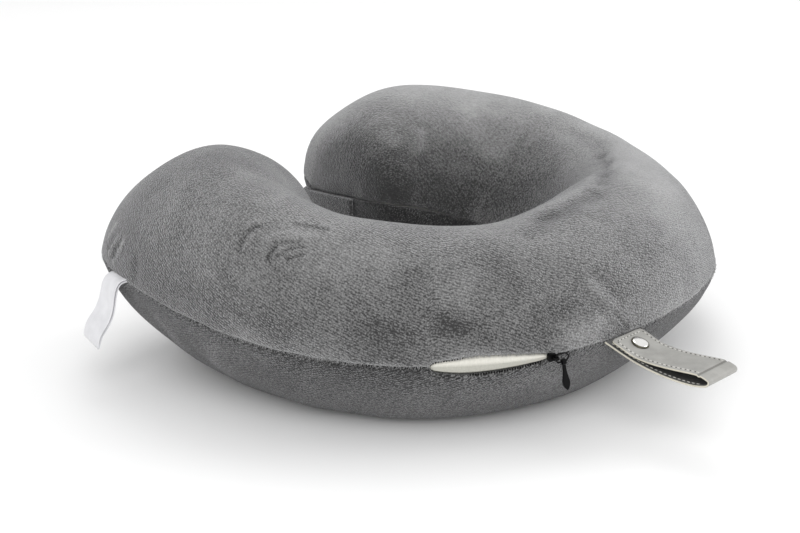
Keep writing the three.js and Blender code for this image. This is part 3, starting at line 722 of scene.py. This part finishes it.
def smoothPath(out, up, steps):
    # curve through the table's points, taken by the chords between them, in even steps
    chord = walkOn(np.array([out, up], float).T)
    fine = np.linspace(0, chord[-1], 2000)
    curve = np.stack([smoothRow(chord, out, fine), smoothRow(chord, up, fine)], -1)
    walk = walkOn(curve)
    place = readOff(curve, walk, np.linspace(0, walk[-1], steps))
    return place, unit(np.gradient(place, axis=0)), walk[-1]


def stripRings(place, heading, halfWidth, half):
    # a strip's section is a rectangle with round ends, turned to stand square to its path
    turn, flat = np.linspace(-np.pi / 2, np.pi / 2, 9), np.linspace(-1, 1, 9)[1:-1]
    core, end = halfWidth[:, None] - half, half * np.cos(turn)
    across = np.concatenate([core + end, -flat * core, -core - end, flat * core], 1)
    lift = half * np.concatenate([np.sin(turn), flat**0, np.sin(turn)[::-1], -(flat**0)])
    path = place[:, None] + lift[:, None] * quarterTurn(heading)[:, None]
    return np.concatenate([path, across[..., None]], -1)


capsule = {"rings": 7, "sides": 8, "fullness": 0.6}


def capsules(name, middles, alongs, lifts, material, length, radius):
    # round threads closed at both ends: along each one the place goes by a cosine of the share, and the girth
    # by a sine of it raised to the fullness
    rings, sides = capsule["rings"], capsule["sides"]
    share = np.linspace(0, np.pi, rings)[:, None, None]
    turn = np.linspace(0, 2 * np.pi, sides + 1)[:-1, None]
    middles, alongs, lifts = (rows[:, None, None] for rows in (middles, alongs, lifts))
    girth = (lifts * np.cos(turn) + np.cross(alongs, lifts) * np.sin(turn)) * radius
    points = middles - alongs * np.cos(share) * length / 2 + girth * np.sin(share) ** capsule["fullness"]
    faces = np.concatenate([tubeFaces(rings, sides, rings * sides * k) for k in range(len(points))])
    return meshObject(name, points, faces, materials=[material])


leather = {
    "at": 0.168, "heading": 14.5, "width": 21, "thickness": 0.9, "cornerRadius": 2, "steps": 240,
    "out": (-1.2, 3, 12, 20, 28, 36, 42, 46, 47.9, 48.1, 46.8, 43.6, 42, 36, 28, 20, 12, 6, 1.7),
    "up": (
        -0.6, -1.9, -4.6, -6.2, -7.1, -7.3, -6.9, -6, -4.8, -3.6,
        -2.8, -2, -2, -2.5, -3.2, -3.4, -2.5, -0.5, 0.8,
    ),
    "pastFold": 3, "creaseOut": 43.6, "creaseDepth": 0.45, "creaseWidth": 0.55, "creaseShadeReach": 0.3,
    "stitchPitch": 2.2, "stitchInset": 1.8, "stitchFrom": 3, "stitchPast": 0.5, "stitchLift": 0.02,
    "slack": 0.01, "cornerGap": 0.5,
    "stitch": {"length": 1.45, "radius": 0.26}, "hole": {"length": 0.8, "radius": 0.32}, "holeSunk": 0.1,
}


def leatherLoop():
    # a strip along its path, with a quarter circle off each corner of its end: stitches stand at every pitch
    # along both edges and across the end, and holes half a pitch on from them
    origin, axes = seamFrame(leather["at"], leather["heading"])
    place, heading, length = smoothPath(leather["out"], leather["up"], leather["steps"])
    walk = np.linspace(0, length, leather["steps"])
    # the fold has pressed a line across the strip's upper layer
    onTop = walk > length / 2 + leather["pastFold"]
    pressed = onTop * bell(place[:, 0] - leather["creaseOut"], leather["creaseWidth"])
    place = place + quarterTurn(heading) * pressed[:, None] * leather["creaseDepth"]
    corner = leather["cornerRadius"]
    short = np.clip(corner - (length - walk), 0, corner)
    halfWidth = leather["width"] / 2 - (corner - np.sqrt(corner**2 - short**2))
    rings = stripRings(place, heading, halfWidth, leather["thickness"] / 2)
    ring = rings.shape[1]
    # round the section: the lining, the outer side, and the cut edges between them
    column = np.tile(np.arange(ring), len(rings) - 1)
    kind = np.select([(column > 6) & (column < 17), (column > 21) | (column < 2)], [0, 1], 2)
    # faces along the pressed line take the darker leather: painted shade in the crease
    creased = (np.abs(place[:-1, 0] - leather["creaseOut"]) < leather["creaseShadeReach"]) & onTop[:-1]
    kind[np.repeat(creased, ring) & (kind == 1)] = 3
    loop = tube(
        "leatherLoop",
        origin + rings @ axes,
        capped=True,
        materials=[leatherLining, greyLeather, leatherEdge, creaseShadeLeather],
        faceMaterial=np.append(kind, [2, 2]),
    )
    handOver(loop, "leather", "loop")

    inset, pitch = leather["width"] / 2 - leather["stitchInset"], leather["stitchPitch"]
    last = length - leather["stitchInset"]
    walks = np.arange(leather["stitchFrom"], last + leather["slack"], pitch)
    walks = walks[np.interp(walks, walk, place[:, 0]) < leather["creaseOut"] + leather["stitchPast"]]
    middle, along = readOff(place, walk, walks), readOff(heading, walk, walks)
    normal, end = quarterTurn(along), readOff(place, walk, last)
    across = np.arange(-inset + pitch, inset - leather["cornerGap"], pitch)
    # each stitch: its place, its heading and the strip's normal, along one edge, the other, and the end
    zero, none = np.zeros(len(walks)), np.zeros((len(across), 1))
    rows = [np.column_stack([middle, zero + edge, along, zero, normal, zero]) for edge in (-inset, inset)]
    rows.append(np.column_stack([none + end, across, none, none, none + 1, none + normal[-1], none]))
    spots, headings, lifts = np.split(np.concatenate(rows * 2), 3, axis=1)
    # they show on the strip's lower face, and the same again on its upper one
    lifts = lifts * np.repeat([-1, 1], len(lifts) // 2)[:, None]
    spots = spots + lifts * (leather["thickness"] / 2 + leather["stitchLift"])
    spots, headings, lifts = origin + spots @ axes, headings @ axes, lifts @ axes
    between = spots + headings * pitch / 2 - lifts * leather["holeSunk"]
    stitches = capsules("leatherStitches", spots, headings, lifts, leatherThread, **leather["stitch"])
    handOver(stitches, "leather")
    # dark capsules sunk into the strip between the stitches: painted shade in the stitch holes
    holes = capsules("stitchHoles", between, headings, lifts, stitchHole, **leather["hole"])
    handOver(holes, "leather")
    print("leather strip length", round(length, 1))
    return origin, axes, place, heading


loopOrigin, loopAxes, loopPlace, loopHeading = leatherLoop()

snap = {
    "out": 8.8, "radius": 3.9, "height": 1.0, "backRadius": 3.6, "backHeight": 1.05, "gap": 0.12, "sides": 64,
    "profileOut": (0, 0.95, 1, 1, 0.98, 0.95, 0.92, 0.89, 0.84, 0.72, 0.55, 0.35, 0.15, 0),
    "profileUp": (0, 0, 0.14, 0.36, 0.5, 0.56, 0.54, 0.55, 0.68, 0.8, 0.9, 0.96, 1, 1),
    "rimRows": 8,
}


def snapDisc(name, node, radius, height, way):
    # a lathe profile of the cap, set flat on the strip: low rim, groove and shallow dome
    half = len(loopPlace) // 2
    layer = slice(half, None) if way > 0 else slice(half)
    pick = np.argmin(np.abs(loopPlace[layer, 0] - snap["out"]))
    middle, along = loopPlace[layer][pick], loopHeading[layer][pick]
    lift = quarterTurn(along)
    lift = lift * (way if lift[1] > 0 else -way)
    out = np.array(snap["profileOut"])[:, None, None] * radius
    up = np.array(snap["profileUp"])[:, None, None] * height
    turn = np.linspace(0, 2 * np.pi, snap["sides"] + 1)[:-1, None]
    path = middle + (leather["thickness"] / 2 + snap["gap"] + up) * lift + out * np.cos(turn) * along
    rings = np.concatenate([path, out * np.sin(turn)], -1)
    step = np.repeat(np.arange(len(out) - 1), snap["sides"])
    # rim and groove rows take the darker nickel: painted dark reflection round the cap
    kind = ((step > 0) & (step < snap["rimRows"])).astype(int)
    disc = tube(name, loopOrigin + rings @ loopAxes, materials=[nickel, nickelRim], faceMaterial=kind)
    handOver(disc, "nickel", node)


snapDisc("snapCap", "snap_cap", snap["radius"], snap["height"], 1)
snapDisc("snapBack", "snap_back", snap["backRadius"], snap["backHeight"], -1)
print("loop made")

# care label: one ribbon folded double, both ends sewn into the seam
label = {
    "at": 0.786, "width": 15, "thickness": 0.5, "gap": 0.9, "pathSteps": 60, "steps": 120,
    "askew": -9, "askewBy": 5, "twist": 6, "twistBy": 20, "foldPower": 10,
    "out": (-1.5, 2, 4.4, 6, 9, 12.6, 14.4),
    "up": (0.3, -0.6, -4.5, -11, -17.5, -22.5, -28.2),
}


def careLabel():
    # one path down and back up, the gap closing by a high power at the fold. It slants a little, and turns
    # as it falls, so a place across it moves by sines and cosines of both angles.
    origin, axes = seamFrame(label["at"])
    place, heading, length = smoothPath(label["out"], label["up"], label["pathSteps"])
    opened = np.sqrt(1 - np.linspace(0, 1, label["pathSteps"]) ** label["foldPower"])
    apart = quarterTurn(heading) * (label["gap"] / 2 * opened)[:, None]
    path = np.concatenate([place + apart, (place - apart)[-2::-1]])
    walk = walkOn(path)
    path = readOff(path, walk, np.linspace(0, walk[-1], label["steps"]))
    course = unit(np.gradient(path, axis=0))
    rings = stripRings(path, course, np.full(len(path), label["width"] / 2), label["thickness"] / 2)
    turn = radians(label["twist"]) * np.clip(-rings[..., 1] / label["twistBy"], 0, 1)
    slope = radians(label["askew"]) * np.clip(-rings[..., 1] / label["askewBy"], 0, 1)
    moved = np.stack([np.sin(turn), -np.sin(slope), np.cos(turn) * np.cos(slope) - 1], -1)
    rings = rings + rings[..., 2:] * moved
    ribbon = tube("careLabel", origin + rings @ axes, capped=True, materials=[satin])
    handOver(ribbon, "satin", "label")
    print("label ribbon length", round(walk[-1], 1))


careLabel()

# closure strap: a plush tab under the seam, from the far arm's inner wall round its tip
strap = {
    "start": -0.958, "far": -0.93, "length": 50, "width": 19, "thickness": 2.4, "off": 0.6,
    "tuck": 8, "tuckFrom": 0.8, "edgeRadius": 1.3, "lay": -0.4, "edgeHighlight": 0.34, "edgeHighlightWidth": 0.8,
    "leastDrop": 0.01, "lines": 20, "steps": 72, "columns": 40,
}


def wallLine(drop, walks):
    # level line on the lower panel, this far under its seam: along the inner wall to the tip, and back on the
    # outside. Its angle is the arc sine of the drop over the section's depth, raised to half the roundness.
    turn = bodyShare + (1 - bodyShare) * np.sqrt(1 - (drop / sectionSize("depth", 1.0)) ** 2)
    share = np.sin(np.linspace(0, np.pi / 2, 300))
    half = []
    for first, inner in ((strap["start"], True), (strap["far"], False)):
        at = first + (-turn - first) * share
        rise = np.clip(drop / (sectionSize("depth", -at) * tipSwell(-at)), 0, 1)
        angle = np.arcsin(rise ** (skin["underRoundness"] / 2))
        half.append(skinPoint(at, np.pi - angle if inner else angle, True))
    line = np.concatenate([half[0], half[1][::-1]])
    return readOff(line, walkOn(line), walks)


def closureStrap():
    # a grid between the wall's lines, thickened to both sides with edges that are a quarter circle
    share = np.linspace(0, 1, strap["steps"])[:, None]
    drops = np.linspace(0, strap["width"], strap["lines"])
    walks = share[:, 0] * strap["length"]
    lines = np.array([wallLine(max(drop, strap["leastDrop"]), walks) for drop in drops])
    # its far end narrows from above, where it goes out of sight round the tip
    top = strap["tuck"] * np.clip((share - strap["tuckFrom"]) / (1 - strap["tuckFrom"]), 0, 1) ** 2
    drop = top + (strap["width"] - top) * np.linspace(0, 1, strap["columns"])
    wall = np.array([readOff(lines[:, i], drops, row) for i, row in enumerate(drop)])
    normal = gridNormals(wall, -1)
    fromEnd = np.minimum(share, 1 - share) * strap["length"]
    edge = np.minimum(np.minimum(drop - top, strap["width"] - drop), fromEnd)
    half = normal * (strap["thickness"] / 2 * roundEdge(edge, strap["edgeRadius"]))[..., None]
    middle = wall + normal * (strap["off"] + strap["thickness"] / 2)
    rings = np.concatenate([middle + half, (middle - half)[:, ::-1]], 1)
    cloth = clothPlan(share * strap["length"], walkOn(rings, 1))
    # the strap is darkened by painted shade, and its edges get a painted highlight
    lay = strap["lay"] + strap["edgeHighlight"] * bell(edge, strap["edgeHighlightWidth"])
    lay = np.concatenate([lay, lay[:, ::-1]], 1)
    piece = tube("closureStrap", rings, uv=cloth, lay=lay, materials=[upperPlush])
    handOver(piece, "plush", "closure_strap")
    width = walkOn(middle[strap["steps"] // 4])[-1]
    print("strap", strap["length"], round(width, 1))


closureStrap()

# zip teeth: a nylon coil's turns along each lip, on a narrow woven tape
teeth = {
    "pitch": 1.1, "turns": {"length": 1.2, "radius": 0.38}, "inside": {"Upper": 1.25, "Lower": 1.15},
    "shown": 0.3, "hidden": -1.1, "turnAt": 0.3, "turnSpeed": 10, "margins": (0.8, 0.4), "steps": 300,
}
tape = {
    "inside": 1.7, "beyond": -0.7, "steps": 120,
    "section": ((-0.25, -0.6), (0.25, -0.6), (0.25, 0.54), (-0.25, 0.54)),
}


def zipEdge(side, inside, beyond, steps):
    # line just inside a lip, set back under the plush and standing out of it towards the other lip
    far, near = zipLips["ends"]
    at = np.linspace(zipLips["farEnd"] - far, zipLips["slider"] + near, steps)
    outward = quarterTurn(neckLine(at)[1])
    point = skinPoint(at, np.maximum(lipAngle(at, side), 1e-4), side < 0)
    return point - outward * inside - np.array([0, 0, 1.0]) * side * beyond, outward


def zipTeeth():
    # a capsule at every pitch along each lip's line, and a four-sided tube as the tape behind them
    for side, name in ((1, "Upper"), (-1, "Lower")):
        # the upper row shows over the first part of the opening, and the lower one from there to the slider
        shown = 0.5 + side * (teeth["turnAt"] - np.linspace(0, 1, teeth["steps"])) * teeth["turnSpeed"]
        beyond = teeth["hidden"] + (teeth["shown"] - teeth["hidden"]) * np.clip(shown, 0, 1)[:, None]
        line, outward = zipEdge(side, teeth["inside"][name], beyond, teeth["steps"])
        walk = walkOn(line)
        walks = np.arange(teeth["margins"][0], walk[-1] - teeth["margins"][1], teeth["pitch"])
        middle, lift = readOff(line, walk, walks), readOff(outward, walk, walks)
        up = np.tile([0, 0, 1.0], (len(walks), 1))
        row = capsules("zipTeeth" + name, middle, up, lift, zipBlack, **teeth["turns"])
        handOver(row, "zip")
        line, outward = zipEdge(side, tape["inside"], tape["beyond"], tape["steps"])
        corner = np.array(tape["section"])
        rings = line[:, None] + outward[:, None] * corner[:, :1] - np.array([0, 0, side]) * corner[:, 1:]
        band = tube("zipTape" + name, rings, capped=True, materials=[zipTape], smooth=False)
        handOver(band, "zip", "zip_tape_" + name.lower())


zipTeeth()
for node in ("zip_slider", "zip_link", "zip_pull"):
    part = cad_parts[node]
    part.data.materials.clear()
    part.data.materials.append(zipBlack)
print("zip made")

# floor, light and camera
camera = {"place": (558.05, 224.52, 242.79), "aim": (8.56, -92.94, 32.09), "lens": 60.28}
# each lamp: turn from straight behind the pillow towards the right, height as an angle, size in m and power
studio = {
    "floor": 248, "floorReach": 6000, "world": 0.87, "away": 1.8,
    "behind": (-0.866, -0.5, 0), "right": (-0.5, 0.866, 0),
    "lamps": {
        "over": (0, 62, 1, 5),
        "right": (85, 30, 1, 5.5),
        "front": (180, 45, 1.2, 7),
        "low": (175, 13, 1, 5.5),
    },
}


def standAt(name, data, place, aim):
    # an object at its place, turned so that its minus z points at the aim
    thing = bpy.data.objects.new(name, data)
    thing.location = place
    thing.rotation_euler = (aim - place).to_track_quat("-Z", "Y").to_euler()
    bpy.context.collection.objects.link(thing)
    return thing


def areaLight(name, aim, turn, height, size, power):
    # on a sphere round the aim: out and round by the turn, and up by the height
    data = bpy.data.lights.new(name, "AREA")
    data.shape, data.size, data.energy = "DISK", size, power
    turn, height = radians(turn), radians(height)
    flat = Vector(studio["behind"]) * np.cos(turn) + Vector(studio["right"]) * np.sin(turn)
    place = aim + studio["away"] * (flat * np.cos(height) + Vector((0, 0, np.sin(height))))
    standAt(name, data, place, aim)


def studioSet():
    # a level square as the floor, an even white world, and the lamps and the camera turned to their aim
    corner = np.array([[-1, -1, 0], [1, -1, 0], [1, 1, 0], [-1, 1, 0]]) * studio["floorReach"]
    paint = newMaterial("pale floor", Roughness=0.9, Base_Color=rgb(studio["floor"]))[0]
    meshObject("floor", corner, [[0, 1, 2, 3]], materials=[paint])
    world = bpy.data.worlds.new("studio")
    world.use_nodes = True
    sky = world.node_tree.nodes["Background"].inputs
    sky["Color"].default_value, sky["Strength"].default_value = (1, 1, 1, 1), studio["world"]
    bpy.context.scene.world = world
    aim = Vector(camera["aim"]) * mm
    for name, lamp in studio["lamps"].items():
        areaLight(name, aim, *lamp)
    lens = bpy.data.cameras.new("camera")
    lens.lens, lens.sensor_width, lens.clip_end = camera["lens"], 36, 50
    bpy.context.scene.camera = standAt("camera", lens, Vector(camera["place"]) * mm, aim)
    bpy.context.scene.view_settings.view_transform = "Standard"


studioSet()
